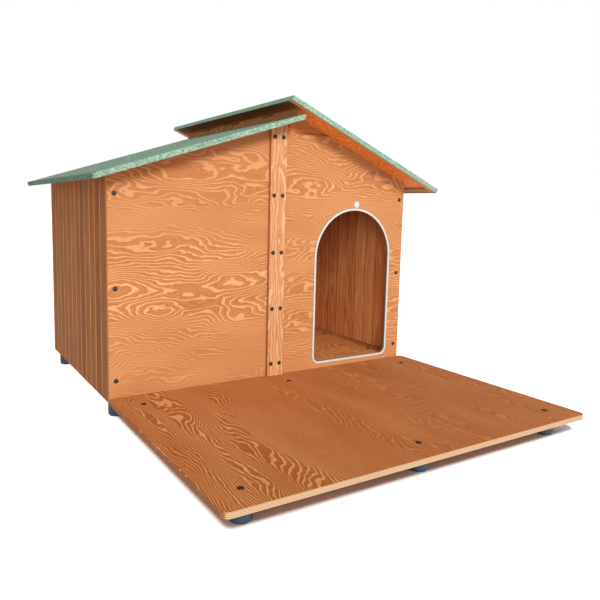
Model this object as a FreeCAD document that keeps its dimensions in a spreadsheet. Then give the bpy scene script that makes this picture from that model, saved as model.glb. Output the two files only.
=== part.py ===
import FreeCAD, Part
import Sketcher
import os
import re

# Wooden dog kennel with a sun deck. Units are millimetres.
# +X is to the right, +Y goes from the front to the back, +Z is up.
# The origin is on the ground, under the middle of the whole outline.

doc = FreeCAD.newDocument("dog_kennel")
sizes = doc.addObject("Spreadsheet::Sheet", "sizes")

driving = [
    # The whole
    ("kennel_width", 1450.0),
    ("kennel_depth", 960.0),
    ("wall_height", 859.0),
    ("left_pitch", 17.3),
    ("right_pitch", 22.8),
    ("eave_overhang", 90.0),
    ("gable_overhang", 131.0),
    ("ridge_offset", 51.0),
    ("ridge_lap", 60.0),
    # Sheets and boards
    ("panel_thick", 15.0),
    ("floor_thick", 18.0),
    ("joint_gap", 1.0),
    ("board_thick", 12.0),
    ("board_count", 12.0),
    ("board_gap", 0.3),
    ("board_chamfer", 2.5),
    ("tongue_thick", 4.0),
    ("tongue_length", 6.0),
    ("groove_play", 0.3),
    # Frame timber
    ("post_width", 30.0),
    ("post_depth", 40.0),
    ("rail_height", 30.0),
    ("bearer_width", 110.0),
    ("bearer_thick", 22.0),
    ("batten_size", 28.0),
    ("beam_width", 45.0),
    ("beam_height", 34.0),
    ("ridge_board_thick", 15.0),
    ("ridge_board_reach", 74.0),
    ("ridge_board_end_lift", 44.0),
    ("ridge_rail_width", 30.0),
    ("ridge_rail_drop", 34.0),
    # Cover strips
    ("strip_width", 77.0),
    ("strip_thick", 15.0),
    # Deck
    ("deck_width", 1480.0),
    ("deck_depth", 950.0),
    ("deck_offset", 10.0),
    ("deck_corner", 24.0),
    # Doorway and its edge trim
    ("door_centre", 428.0),
    ("door_radius", 213.0),
    ("door_spring", 524.0),
    ("door_sill", 45.0),
    ("door_corner", 30.0),
    ("trim_thick", 2.0),
    ("trim_flange", 7.0),
    ("trim_skin", 1.5),
    ("trim_return", 4.0),
    ("disc_radius", 15.0),
    ("disc_thick", 3.0),
    ("disc_round", 1.5),
    ("disc_offset", 8.0),
    ("disc_height", 762.0),
    # Notch at the head of the right panels, and the board behind it that the opening leaf rests on
    ("notch_depth", 28.8),
    ("notch_corner", 96.0),
    ("notch_angle", 33.0),
    ("leaf_rest_thick", 28.0),
    ("leaf_rest_height", 70.0),
    # Roof leaves
    ("roof_thick", 15.0),
    ("leaf_sheet_thick", 9.0),
    ("edge_strip_thick", 6.0),
    ("edge_strip_width", 30.0),
    ("eave_strip_width", 40.0),
    ("felt_thick", 3.0),
    ("felt_lip", 2.0),
    ("leaf_play", 0.3),
    ("leaf_batten_width", 28.0),
    ("leaf_batten_height", 20.0),
    ("leaf_batten_start", 24.0),
    ("leaf_batten_end", 22.0),
    ("leaf_batten_play", 2.0),
    # Feet
    ("foot_height", 66.0),
    ("foot_radius", 33.0),
    ("foot_base_radius", 29.0),
    ("foot_taper_height", 7.0),
    ("foot_recess_radius", 15.0),
    ("foot_recess_depth", 20.0),
    ("kennel_foot_x", 47.0),
    ("kennel_foot_y", 60.0),
    # Big bolts of deck and floor
    ("big_head_radius", 10.0),
    ("big_head_height", 4.0),
    ("big_head_round", 2.5),
    ("big_shank_radius", 4.0),
    ("big_nut_width", 13.0),
    ("big_nut_height", 6.5),
    ("deck_bolt_side", 100.0),
    ("deck_bolt_front", 95.0),
    ("deck_bolt_back", 113.0),
    ("floor_bolt_side", 90.0),
    ("floor_bolt_front", 94.0),
    ("coach_head_radius", 8.5),
    ("coach_head_height", 5.5),
    ("coach_grip", 17.0),
    # Small bolts of the walls
    ("small_head_radius", 9.0),
    ("small_head_height", 4.5),
    ("small_head_round", 3.2),
    ("small_shank_radius", 3.0),
    ("small_nut_width", 10.0),
    ("small_nut_height", 5.0),
    ("thread_end", 2.0),
    ("thread_play", 0.05),
    ("hole_play", 0.2),
    ("strip_bolt_spread", 42.0),
    ("strip_bolt_low", 72.0),
    ("strip_bolt_high", 17.7),
    ("strip_bolt_rows", 5.0),
    ("edge_bolt_inset", 27.0),
    ("edge_bolt_low", 84.0),
    ("edge_bolt_high", 71.0),
    ("edge_bolt_rows", 3.0),
    # Roof hinges
    ("hinge_count", 3.0),
    ("hinge_length", 76.0),
    ("hinge_inset", 112.0),
    ("hinge_plate_width", 40.0),
    ("hinge_plate_thick", 2.0),
    ("knuckle_radius", 3.7),
    ("knuckle_play", 0.3),
    ("knuckle_stand", 0.5),
    ("pin_radius", 1.75),
    ("pin_play", 0.05),
    ("gain_play", 0.5),
    ("hinge_screw_radius", 1.6),
    ("hinge_screw_head", 3.2),
    ("hinge_screw_sink", 1.6),
    ("hinge_screw_length", 10.0),
    ("hinge_screw_count", 3.0),
    ("hinge_screw_line", 30.0),
    ("screw_play", 0.1),
    ("hinge_screw_step", 27.0),
]

derived = [
    # Levels above the ground
    ("base", "foot_height"),
    ("deck_top", "foot_height + floor_thick"),
    ("floor_low", "foot_height + bearer_thick"),
    ("floor_top", "floor_low + floor_thick"),
    ("eave", "base + wall_height"),
    # Faces of the walls
    ("side", "kennel_width / 2"),
    ("side_in", "side - board_thick"),
    ("post_in", "side_in - post_width"),
    ("front", "(deck_depth - kennel_depth - gable_overhang) / 2"),
    ("front_in", "front + panel_thick"),
    ("back", "front + kennel_depth"),
    ("back_in", "back - panel_thick"),
    ("room_depth", "back_in - front_in"),
    # Undersides of the roof leaves: heights at a distance from the wall's face
    ("rise_left", "tan(left_pitch)"),
    ("rise_right", "tan(right_pitch)"),
    ("right_eave", "eave + edge_strip_thick / cos(right_pitch)"),
    ("joint_half", "joint_gap / 2"),
    ("peak_left", "eave + (side - joint_half) * rise_left"),
    ("peak_right", "eave + (side + joint_half) * rise_left"),
    ("notch_low", "eave + side * rise_left - notch_depth"),
    ("notch_run", "notch_corner * tan(notch_angle)"),
    ("notch_left", "(notch_low + notch_run - eave - side * rise_left) / (rise_left + tan(notch_angle))"),
    ("notch_top", "eave + (side + notch_left) * rise_left"),
    ("notch_right", "side - (notch_low - right_eave) / rise_right"),
    # Ridge timber
    ("beam_left", "ridge_offset - beam_width"),
    ("beam_low", "eave + (side + beam_left) * rise_left - beam_height"),
    ("board_right", "ridge_offset + ridge_board_thick"),
    ("rail_right", "board_right + ridge_rail_width"),
    ("ridge_top", "right_eave + (side - ridge_offset) * rise_right"),
    ("board_right_top", "right_eave + (side - board_right) * rise_right"),
    ("rail_right_top", "right_eave + (side - rail_right) * rise_right"),
    # Roof leaves, measured along their slope from the wall's outer face
    ("cover", "roof_thick + felt_thick"),
    ("leaf_cover", "leaf_sheet_thick + felt_thick"),
    ("sheet_left_eave", "(eave_overhang - cover * sin(left_pitch)) / cos(left_pitch) - felt_thick"),
    ("sheet_right_eave", "(eave_overhang - leaf_cover * sin(right_pitch)) / cos(right_pitch) - felt_thick"),
    ("sheet_left_ridge", "(side + ridge_offset - felt_thick) / cos(left_pitch)"),
    ("felt_left_ridge", "(side + ridge_offset) / cos(left_pitch)"),
    ("lap_reach", "side - ridge_offset + ridge_lap"),
    ("sheet_right_ridge", "(lap_reach + leaf_cover * sin(right_pitch)) / cos(right_pitch) - felt_thick"),
    ("roof_front", "front - gable_overhang"),
    ("roof_length", "kennel_depth + 2 * gable_overhang"),
    # Boards of the side walls
    ("board_pitch", "room_depth / board_count"),
    ("board_width", "board_pitch - board_gap"),
    ("tongue_low", "(board_thick - tongue_thick) / 2"),
    ("tongue_high", "(board_thick + tongue_thick) / 2"),
    # Hinge axis
    ("plate_level", "knuckle_radius + knuckle_play"),
    ("hinge_x", "ridge_offset - knuckle_radius - knuckle_stand"),
    ("hinge_z", "right_eave + (side - hinge_x) * rise_right - (plate_level - leaf_play) / cos(right_pitch)"),
    ("hinge_row", "room_depth - 2 * hinge_inset - hinge_length"),
    ("hinge_y", "front_in + hinge_inset"),
    ("knuckle_pitch", "hinge_length / 5"),
    ("knuckle_length", "knuckle_pitch - knuckle_play"),
    ("screw_row", "(hinge_screw_count - 1) * hinge_screw_step"),
    ("screw_first", "(hinge_length - screw_row) / 2"),
    # Rows of bolts and feet
    ("deck_front", "front - deck_depth"),
    ("deck_left", "deck_offset - deck_width / 2"),
    ("deck_right", "deck_offset + deck_width / 2"),
    ("deck_bolt_x", "deck_width / 2 - deck_bolt_side"),
    ("deck_bolt_row", "deck_depth - deck_bolt_front - deck_bolt_back"),
    ("floor_bolt_x", "side - floor_bolt_side"),
    ("floor_bolt_y", "front_in + floor_bolt_front"),
    ("floor_bolt_row", "room_depth - 2 * floor_bolt_front"),
    ("foot_x", "side - kennel_foot_x"),
    ("foot_y", "front + kennel_foot_y"),
    ("foot_row", "kennel_depth - 2 * kennel_foot_y"),
    ("strip_stack", "strip_thick + panel_thick + batten_size"),
    ("edge_stack", "panel_thick + post_depth"),
    ("edge_bolt_x", "side - edge_bolt_inset"),
    ("edge_bolt_row", "wall_height - edge_bolt_low - edge_bolt_high"),
    ("strip_bolt_row", "beam_low - strip_bolt_high - base - strip_bolt_low"),
]

for row, (alias, value) in enumerate(driving, 1):
    sizes.set("A%d" % row, alias)
    sizes.set("B%d" % row, str(value))
    sizes.setAlias("B%d" % row, alias)
for row, (alias, formula) in enumerate(derived, 1):
    sizes.set("D%d" % row, alias)
    sizes.set("E%d" % row, "=" + formula)
    sizes.setAlias("E%d" % row, alias)
doc.recompute()

aliases = set(name for name, content in driving + derived)
UP = FreeCAD.Rotation()
FORWARD = FreeCAD.Rotation(FreeCAD.Vector(1, 0, 0), 90)
BACKWARD = FreeCAD.Rotation(FreeCAD.Vector(0, 0, 1), 180).multiply(FORWARD)
AROUND = FreeCAD.Rotation(FreeCAD.Vector(0, 0, 1), 180)
parts = []


# Links between the sheet and the document

def linked(text):
    """Put the sheet's name before each alias of an expression."""
    def full(match):
        word = match.group(0)
        return "sizes." + word if word in aliases else word
    return re.sub(r"[a-z_]+", full, text)


def bind(item, prop, text):
    item.setExpression(prop, linked(text))


def place(item, x, y, z, turn=UP):
    """Put a piece's own origin at x, y, z, turned by a fixed rotation."""
    item.Placement = FreeCAD.Placement(FreeCAD.Vector(0, 0, 0), turn)
    bind(item, "Placement.Base.x", x)
    bind(item, "Placement.Base.y", y)
    bind(item, "Placement.Base.z", z)


def tilt(item, angle):
    """Lean a piece about its own Y axis by an angle from the sheet."""
    item.Placement = FreeCAD.Placement(item.Placement.Base, FreeCAD.Rotation(FreeCAD.Vector(0, 1, 0), 10))
    bind(item, "Placement.Rotation.Angle", angle)


def keep(item, label):
    """Name a finished sub-part."""
    item.Label = label
    parts.append(item)
    return item


# Sketches and bodies

def new_body(name):
    return doc.addObject("PartDesign::Body", name)


def origin_item(body, role):
    return [item for item in body.Origin.OriginFeatures if item.Role == role][0]


def new_sketch(body, plane, name):
    sketch = body.newObject("Sketcher::SketchObject", name)
    sketch.AttachmentSupport = (origin_item(body, plane), [""])
    sketch.MapMode = "FlatFace"
    return sketch


def pin(sketch, kind, geometry, point, text):
    """Tie one coordinate of a sketch point to an expression."""
    value = float(sketch.evalExpression(linked(text)))
    index = sketch.addConstraint(Sketcher.Constraint(kind, -1, 1, geometry, point, value))
    bind(sketch, "Constraints[%d]" % index, text)


def pin_point(sketch, geometry, point, x, y):
    pin(sketch, "DistanceX", geometry, point, x)
    pin(sketch, "DistanceY", geometry, point, y)


def draw_outline(sketch, corners):
    """Draw a closed outline of straight lines through corners given as expressions."""
    first = sketch.GeometryCount
    count = len(corners)
    turn = FreeCAD.Rotation(FreeCAD.Vector(0, 0, 1), 360.0 / count)
    start = FreeCAD.Vector(1, 0, 0)
    for index in range(count):
        end = turn.multVec(start)
        sketch.addGeometry(Part.LineSegment(start, end), False)
        start = end
    for index in range(count):
        following = first + (index + 1) % count
        sketch.addConstraint(Sketcher.Constraint("Coincident", first + index, 2, following, 1))
    for index, (x, y) in enumerate(corners):
        pin_point(sketch, first + index, 1, x, y)


def draw_circle(sketch, radius, x="0", y="0"):
    circle = Part.Circle(FreeCAD.Vector(1, 1, 0), FreeCAD.Vector(0, 0, 1), 1.0)
    index = sketch.addGeometry(circle, False)
    constraint = sketch.addConstraint(Sketcher.Constraint("Radius", index, 1.0))
    bind(sketch, "Constraints[%d]" % constraint, radius)
    pin_point(sketch, index, 3, x, y)


def pad(body, sketch, length, reverse=False):
    feature = body.newObject("PartDesign::Pad", "pad")
    feature.Profile = sketch
    feature.Reversed = reverse
    bind(feature, "Length", length)
    return feature


def repeat(body, features, rows):
    """Repeat features in one or two straight rows: axis, number and whole length."""
    doc.recompute()
    pattern = body.newObject("PartDesign::LinearPattern", "rows")
    pattern.Originals = features
    for suffix, (axis, number, length) in zip(("", "2"), rows):
        setattr(pattern, "Direction" + suffix, (origin_item(body, axis), [""]))
        bind(pattern, "Length" + suffix, length)
        bind(pattern, "Occurrences" + suffix, number)
    body.Tip = pattern
    return pattern


def prism_y(name, corners, start, length):
    """Sheet or bar with an outline in X and Z, running along Y."""
    body = new_body(name)
    sketch = new_sketch(body, "XZ_Plane", name + "_outline")
    draw_outline(sketch, corners)
    pad(body, sketch, length, True)
    place(body, "0", start, "0")
    return body


def prism_z(name, corners, start, height):
    """Sheet or post with an outline in X and Y, running up along Z."""
    body = new_body(name)
    sketch = new_sketch(body, "XY_Plane", name + "_outline")
    draw_outline(sketch, corners)
    pad(body, sketch, height)
    place(body, "0", "0", start)
    return body


def rectangle(x_low, x_high, y_low, y_high):
    return [(x_low, y_low), (x_high, y_low), (x_high, y_high), (x_low, y_high)]


def turned(name, profile, where, turn, rows, rounded=None):
    """Turned piece: a half profile of radius and height, revolved and set out in rows."""
    body = new_body(name)
    sketch = new_sketch(body, "XZ_Plane", name + "_profile")
    draw_outline(sketch, profile)
    solid = body.newObject("PartDesign::Revolution", "turning")
    solid.Profile = sketch
    solid.ReferenceAxis = (sketch, ["V_Axis"])
    solid.Angle = 360
    if rounded:
        doc.recompute()
        top = solid.Shape.BoundBox.ZMax
        wide = [number for number, edge in enumerate(solid.Shape.Edges, 1)
                if edge.Closed and abs(edge.BoundBox.ZMin - top) < 0.001
                and abs(edge.BoundBox.ZMax - top) < 0.001]
        fillet = body.newObject("PartDesign::Fillet", "dome")
        fillet.Base = (solid, ["Edge%d" % wide[-1]])
        bind(fillet, "Radius", rounded)
        solid = fillet
    if rows:
        pattern = repeat(body, [], rows)
        pattern.TransformMode = "Whole shape"
    place(body, where[0], where[1], where[2], turn)
    return body


def hex_nuts(name, width, height, bore, where, turn, rows):
    body = new_body(name)
    sketch = new_sketch(body, "XY_Plane", name + "_outline")
    flat = width + " / 2"
    point = width + " / sqrt(3)"
    half = point + " / 2"
    draw_outline(sketch, [(point, "0"), (half, flat), ("-" + half, flat),
                          ("-" + point, "0"), ("-" + half, "-" + flat), (half, "-" + flat)])
    draw_circle(sketch, bore)
    nut = pad(body, sketch, height)
    repeat(body, [nut], rows)
    place(body, where[0], where[1], where[2], turn)
    return body


def drilled(label, blank, tools):
    """Take the holes away from a blank."""
    if len(tools) > 1:
        group = doc.addObject("Part::Compound", label + "_tools")
        group.Links = tools
    else:
        group = tools[0]
    result = doc.addObject("Part::Cut", label)
    result.Base = blank
    result.Tool = group
    return keep(result, label)


def bolts(name, head_radius, head_height, head_round, shank, length, where, turn, rows):
    profile = [("0", "-(%s)" % length), (shank, "-(%s)" % length), (shank, "0"),
               (head_radius, "0"), (head_radius, head_height), ("0", head_height)]
    return turned(name, profile, where, turn, rows, head_round)


def bores(name, radius, low, high, where, turn, rows):
    return turned(name, rectangle("0", radius, low, high), where, turn, rows)


# Sun deck: one sheet of plywood with rounded corners on six rubber feet

deck_blank = prism_z("deck_blank", rectangle("deck_left", "deck_right", "deck_front", "front"),
                     "foot_height", "floor_thick")
doc.recompute()
deck_pad = deck_blank.Tip
upright = ["Edge%d" % number for number, edge in enumerate(deck_pad.Shape.Edges, 1)
           if edge.BoundBox.XLength < 0.001 and edge.BoundBox.YLength < 0.001]
deck_round = deck_blank.newObject("PartDesign::Fillet", "deck_corners")
deck_round.Base = (deck_pad, upright)
bind(deck_round, "Radius", "deck_corner")
deck_grid = [("X_Axis", "3", "2 * deck_bolt_x"), ("Y_Axis", "2", "deck_bolt_row")]
deck_start = ("deck_offset - deck_bolt_x", "deck_front + deck_bolt_front")
foot_stack = "floor_thick + foot_height - foot_recess_depth"
big_bore = "big_shank_radius + hole_play"
deck_holes = bores("deck_bolt_holes", big_bore, "-floor_thick - 1", "1",
                   deck_start + ("deck_top",), UP, deck_grid)
drilled("deck_panel", deck_blank, [deck_holes])

foot_profile = [(big_bore, "foot_recess_depth"), ("foot_recess_radius", "foot_recess_depth"),
                ("foot_recess_radius", "0"), ("foot_base_radius", "0"),
                ("foot_radius", "foot_taper_height"), ("foot_radius", "foot_height"),
                (big_bore, "foot_height")]
keep(turned("deck_feet", foot_profile, deck_start + ("0",), UP, deck_grid), "deck_feet")
keep(bolts("deck_bolts", "big_head_radius", "big_head_height", "big_head_round", "big_shank_radius",
           foot_stack + " + big_nut_height + thread_end", deck_start + ("deck_top",), UP, deck_grid),
     "deck_bolts")
keep(hex_nuts("deck_nuts", "big_nut_width", "big_nut_height", "big_shank_radius + thread_play",
              deck_start + ("foot_recess_depth - big_nut_height",), UP, deck_grid), "deck_nuts")

# Kennel floor: a plywood sheet bolted to three bearers; the outer two stand on feet

floor_grid = [("X_Axis", "3", "2 * floor_bolt_x"), ("Y_Axis", "3", "floor_bolt_row")]
floor_start = ("-floor_bolt_x", "floor_bolt_y")
foot_grid = [("X_Axis", "3", "2 * foot_x"), ("Y_Axis", "2", "foot_row")]
foot_start = ("-foot_x", "foot_y")
floor_holes = bores("floor_bolt_holes", big_bore, "-floor_thick - bearer_thick - 1", "1",
                    floor_start + ("floor_top",), UP, floor_grid)
foot_holes = bores("foot_screw_holes", big_bore, "-1", "coach_grip + 1",
                   foot_start + ("base",), UP, foot_grid)
floor_blank = prism_z("floor_blank", rectangle("-side_in", "side_in", "front_in", "back_in"),
                      "floor_low", "floor_thick")
drilled("kennel_floor", floor_blank, [floor_holes])
bearer_places = [("front", "front_in"), ("middle", "front_in + (room_depth - bearer_width) / 2"),
                 ("back", "back_in - bearer_width")]
for where, low in bearer_places:
    bearer = prism_z(where + "_bearer_blank", rectangle("-side_in", "side_in", low, low + " + bearer_width"),
                     "base", "bearer_thick")
    drilled(where + "_floor_bearer", bearer, [floor_holes, foot_holes])
keep(turned("kennel_feet", foot_profile, foot_start + ("0",), UP, foot_grid), "kennel_feet")
coach_profile = [("0", "-coach_head_height"), ("coach_head_radius", "-coach_head_height"),
                 ("coach_head_radius", "0"), ("big_shank_radius", "0"),
                 ("big_shank_radius", "foot_height - foot_recess_depth + coach_grip"),
                 ("0", "foot_height - foot_recess_depth + coach_grip")]
keep(turned("kennel_foot_screws", coach_profile, foot_start + ("foot_recess_depth",), UP, foot_grid),
     "kennel_foot_screws")
keep(bolts("floor_bolts", "big_head_radius", "big_head_height", "big_head_round", "big_shank_radius",
           "floor_thick + bearer_thick + big_nut_height + thread_end",
           floor_start + ("floor_top",), UP, floor_grid), "floor_bolts")
keep(hex_nuts("floor_nuts", "big_nut_width", "big_nut_height", "big_shank_radius + thread_play",
              floor_start + ("base - big_nut_height",), UP, floor_grid), "floor_nuts")

# Side walls: upright tongued and grooved boards with a V joint, nailed to floor, posts and top rail

groove_low = "tongue_low - groove_play"
groove_high = "tongue_high + groove_play"
groove_depth = "tongue_length + groove_play"
board_profile = [
    ("0", "board_chamfer"), ("board_chamfer", "0"), (groove_low, "0"), (groove_low, groove_depth),
    (groove_high, groove_depth), (groove_high, "0"), ("board_thick - board_chamfer", "0"),
    ("board_thick", "board_chamfer"), ("board_thick", "board_width - board_chamfer"),
    ("board_thick - board_chamfer", "board_width"), ("tongue_high", "board_width"),
    ("tongue_high", "board_width + tongue_length"), ("tongue_low", "board_width + tongue_length"),
    ("tongue_low", "board_width"), ("board_chamfer", "board_width"), ("0", "board_width - board_chamfer"),
]
for hand, x, y, turn, top in (("left", "-side", "front_in", UP, "eave"),
                              ("right", "side", "back_in", AROUND, "right_eave")):
    wall = prism_z(hand + "_wall_rows", board_profile, "base", top + " - base")
    repeat(wall, [wall.Tip], [("Y_Axis", "board_count", "(board_count - 1) * board_pitch")])
    place(wall, x, y, "base", turn)
    trim_box = doc.addObject("Part::Box", hand + "_wall_space")
    bind(trim_box, "Length", "board_thick")
    bind(trim_box, "Width", "room_depth")
    bind(trim_box, "Height", top + " - base")
    place(trim_box, x, y, "base", turn)
    boards = doc.addObject("Part::Common", hand + "_wall_boards")
    boards.Base = wall
    boards.Tool = trim_box
    keep(boards, hand + "_wall_boards")

# Corner posts and top rails, bevelled under the roof

small_bore = "small_shank_radius + hole_play"
edge_rows = [("X_Axis", "2", "2 * edge_bolt_x"), ("Y_Axis", "edge_bolt_rows", "edge_bolt_row")]
strip_rows = [("X_Axis", "2", "strip_bolt_spread"), ("Y_Axis", "strip_bolt_rows", "strip_bolt_row")]
edge_level = "base + edge_bolt_low"
strip_level = "base + strip_bolt_low"
faces = {
    "front": ("-", "front", "front - strip_thick", FORWARD),
    "back": ("", "back", "back + strip_thick", BACKWARD),
}
edge_holes = {}
strip_holes = {}
for face, (sign, skin, strip_skin, turn) in faces.items():
    edge_holes[face] = bores(face + "_edge_bolt_holes", small_bore, "-edge_stack - 1", "1",
                             (sign + "edge_bolt_x", skin, edge_level), turn, edge_rows)
    strip_holes[face] = bores(face + "_strip_bolt_holes", small_bore, "-strip_stack - 1", "1",
                              (sign + "strip_bolt_spread / 2", strip_skin, strip_level), turn, strip_rows)

sides = {"left": ("-", "eave", "rise_left"), "right": ("", "right_eave", "rise_right")}
for hand, (sign, top, rise) in sides.items():
    outer, inner = sign + "side_in", sign + "post_in"
    outer_top = top + " + board_thick * " + rise
    inner_top = top + " + (board_thick + post_width) * " + rise
    post_outline = [(outer, "floor_top"), (inner, "floor_top"), (inner, inner_top), (outer, outer_top)]
    rail_outline = [(outer, top + " - rail_height"), (inner, top + " - rail_height"),
                    (inner, inner_top), (outer, outer_top)]
    for face, low in (("front", "front_in"), ("back", "back_in - post_depth")):
        name = "%s_%s_post" % (face, hand)
        post = prism_y(name + "_blank", post_outline, low, "post_depth")
        drilled(name, post, [edge_holes[face]])
    keep(prism_y(hand + "_top_rail", rail_outline, "front_in + post_depth", "room_depth - 2 * post_depth"),
         hand + "_top_rail")


# Doorway: an arch on straight sides, with rounded lower corners

def arched_outline(sketch, grow):
    """Draw the doorway's outline, grown outwards by a distance, about its own centre line."""
    wide = float(sizes.door_radius)
    corner = float(sizes.door_corner)
    low = float(sizes.base + sizes.door_sill)
    spring = float(sizes.base + sizes.door_spring)
    first = sketch.GeometryCount
    flat = FreeCAD.Vector(0, 0, 1)
    ends = [(wide - corner, low), (wide, low + corner), (wide, spring),
            (-wide, spring), (-wide, low + corner), (-(wide - corner), low)]
    points = [FreeCAD.Vector(x, y, 0) for x, y in ends]
    half_turn = 180.0
    circles = [(FreeCAD.Vector(wide - corner, low + corner, 0), corner, -half_turn / 2, 0.0),
               (FreeCAD.Vector(0, spring, 0), wide, 0.0, half_turn),
               (FreeCAD.Vector(corner - wide, low + corner, 0), corner, half_turn, 1.5 * half_turn)]
    lines = [(5, 0), (1, 2), (3, 4)]
    for start, end in lines:
        sketch.addGeometry(Part.LineSegment(points[start], points[end]), False)
    for centre, radius, start, end in circles:
        circle = Part.Circle(centre, flat, radius)
        to_radians = 3.141592653589793 / half_turn
        sketch.addGeometry(Part.ArcOfCircle(circle, start * to_radians, end * to_radians), False)
    joins = [(0, 2, 3, 1), (3, 2, 1, 1), (1, 2, 4, 1), (4, 2, 2, 1), (2, 2, 5, 1), (5, 2, 0, 1)]
    for one, one_end, two, two_end in joins:
        sketch.addConstraint(Sketcher.Constraint("Coincident", first + one, one_end, first + two, two_end))
    out = "(door_radius + %s)" % grow
    sill = "base + door_sill - (%s)" % grow
    corner_top = "base + door_sill + door_corner"
    corner_side = "(door_radius - door_corner)"
    top = "base + door_spring"
    pin_point(sketch, first, 1, "-" + corner_side, sill)
    pin_point(sketch, first, 2, corner_side, sill)
    pin_point(sketch, first + 1, 1, out, corner_top)
    pin_point(sketch, first + 1, 2, out, top)
    pin_point(sketch, first + 2, 1, "-" + out, top)
    pin_point(sketch, first + 2, 2, "-" + out, corner_top)
    for arc, height in ((3, corner_top), (4, top), (5, corner_top)):
        pin(sketch, "DistanceY", first + arc, 3, height)


doorway = new_body("doorway")
doorway_sketch = new_sketch(doorway, "XZ_Plane", "doorway_outline")
arched_outline(doorway_sketch, "0")
pad(doorway, doorway_sketch, "panel_thick + 2", True)
place(doorway, "door_centre", "front - 1", "0")

# Gable walls: two plywood panels each, cut to the slopes, notched under the high leaf

left_gable = [("-side", "base"), ("-joint_half", "base"), ("-joint_half", "peak_left"), ("-side", "eave")]
right_gable = [("joint_half", "base"), ("side", "base"), ("side", "right_eave"), ("notch_right", "notch_low"),
               ("notch_corner", "notch_low"), ("notch_left", "notch_top"), ("joint_half", "peak_right")]
strip_half = "strip_width / 2"
joint_outline = rectangle("-" + strip_half, strip_half, "floor_top", "beam_low")
gables = [("front", "front", "front - strip_thick", "deck_top", "front_in", [doorway]),
          ("back", "back_in", "back", "base", "back_in - batten_size", [])]
for face, panel_low, strip_low, strip_foot, batten_low, openings in gables:
    holes = [strip_holes[face], edge_holes[face]]
    left_blank = prism_y(face + "_left_blank", left_gable, panel_low, "panel_thick")
    right_blank = prism_y(face + "_right_blank", right_gable, panel_low, "panel_thick")
    strip_outline = [("-" + strip_half, strip_foot), (strip_half, strip_foot),
                     (strip_half, "eave + (side + %s) * rise_left" % strip_half),
                     ("-" + strip_half, "eave + (side - %s) * rise_left" % strip_half)]
    strip_blank = prism_y(face + "_strip_blank", strip_outline, strip_low, "strip_thick")
    joint_blank = prism_y(face + "_joint_blank", joint_outline, batten_low, "batten_size")
    drilled(face + "_left_panel", left_blank, holes)
    drilled(face + "_right_panel", right_blank, holes + openings)
    drilled(face + "_cover_strip", strip_blank, [strip_holes[face]])
    drilled(face + "_joint_batten", joint_blank, [strip_holes[face]])

# Bolts and nuts of the gable walls

small_head = ("small_head_radius", "small_head_height", "small_head_round", "small_shank_radius")
thread = " + small_nut_height + thread_end"
nut_bore = "small_shank_radius + thread_play"
nut_levels = {
    "front": ("front_in + post_depth + small_nut_height", "front_in + batten_size + small_nut_height"),
    "back": ("back_in - post_depth - small_nut_height", "back_in - batten_size - small_nut_height"),
}
for face, (sign, skin, strip_skin, turn) in faces.items():
    edge_x, strip_x = sign + "edge_bolt_x", sign + "strip_bolt_spread / 2"
    edge_nut, strip_nut = nut_levels[face]
    keep(bolts(face + "_edge_bolts", *small_head, "edge_stack" + thread,
               (edge_x, skin, edge_level), turn, edge_rows), face + "_edge_bolts")
    keep(bolts(face + "_strip_bolts", *small_head, "strip_stack" + thread,
               (strip_x, strip_skin, strip_level), turn, strip_rows), face + "_strip_bolts")
    keep(hex_nuts(face + "_edge_nuts", "small_nut_width", "small_nut_height", nut_bore,
                  (edge_x, edge_nut, edge_level), turn, edge_rows), face + "_edge_nuts")
    keep(hex_nuts(face + "_strip_nuts", "small_nut_width", "small_nut_height", nut_bore,
                  (strip_x, strip_nut, strip_level), turn, strip_rows), face + "_strip_nuts")

# White edge trim: an angle round the front edge of the doorway

trim = new_body("door_edge_trim")
trim_layers = [("0", "trim_skin", "trim_flange"), ("trim_skin", "trim_return", "0")]
for start, length, flange in trim_layers:
    layer = new_sketch(trim, "XZ_Plane", "trim_outline")
    arched_outline(layer, flange)
    arched_outline(layer, "-trim_thick")
    bind(layer, "AttachmentOffset.Base.z", "-(%s)" % start)
    pad(trim, layer, length, True)
place(trim, "door_centre", "front - trim_skin", "0")
keep(trim, "door_edge_trim")
disc_profile = rectangle("0", "disc_radius", "0", "disc_thick")
keep(turned("door_disc", disc_profile, ("door_centre + disc_offset", "front", "base + disc_height"),
            FORWARD, [], "disc_round"), "door_disc")


# Roof leaves lie in their own sloping frames, measured from the top of the wall's outer face

def on_left_slope(body, low):
    place(body, "-side", low, "eave")
    tilt(body, "-left_pitch")
    return body


def on_right_slope(body, low):
    place(body, "side", low, "right_eave")
    tilt(body, "right_pitch")
    return body


def leaf(hand, sheet, outer, inner, setter, holes):
    """Plywood sheet of a roof leaf and the felt wrapped over its top and edges."""
    sheet_low, sheet_run = "roof_front + felt_thick", "roof_length - 2 * felt_thick"
    panel = setter(prism_y(hand + "_sheet", sheet, "0", sheet_run), sheet_low)
    if holes:
        drilled(hand + "_roof_panel", panel, holes)
    else:
        keep(panel, hand + "_roof_panel")
    around = setter(prism_y(hand + "_felt_outside", outer, "0", "roof_length"), "roof_front")
    within = setter(prism_y(hand + "_felt_inside", inner, "0", sheet_run), sheet_low)
    drilled(hand + "_roof_felt", around, [within])


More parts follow.
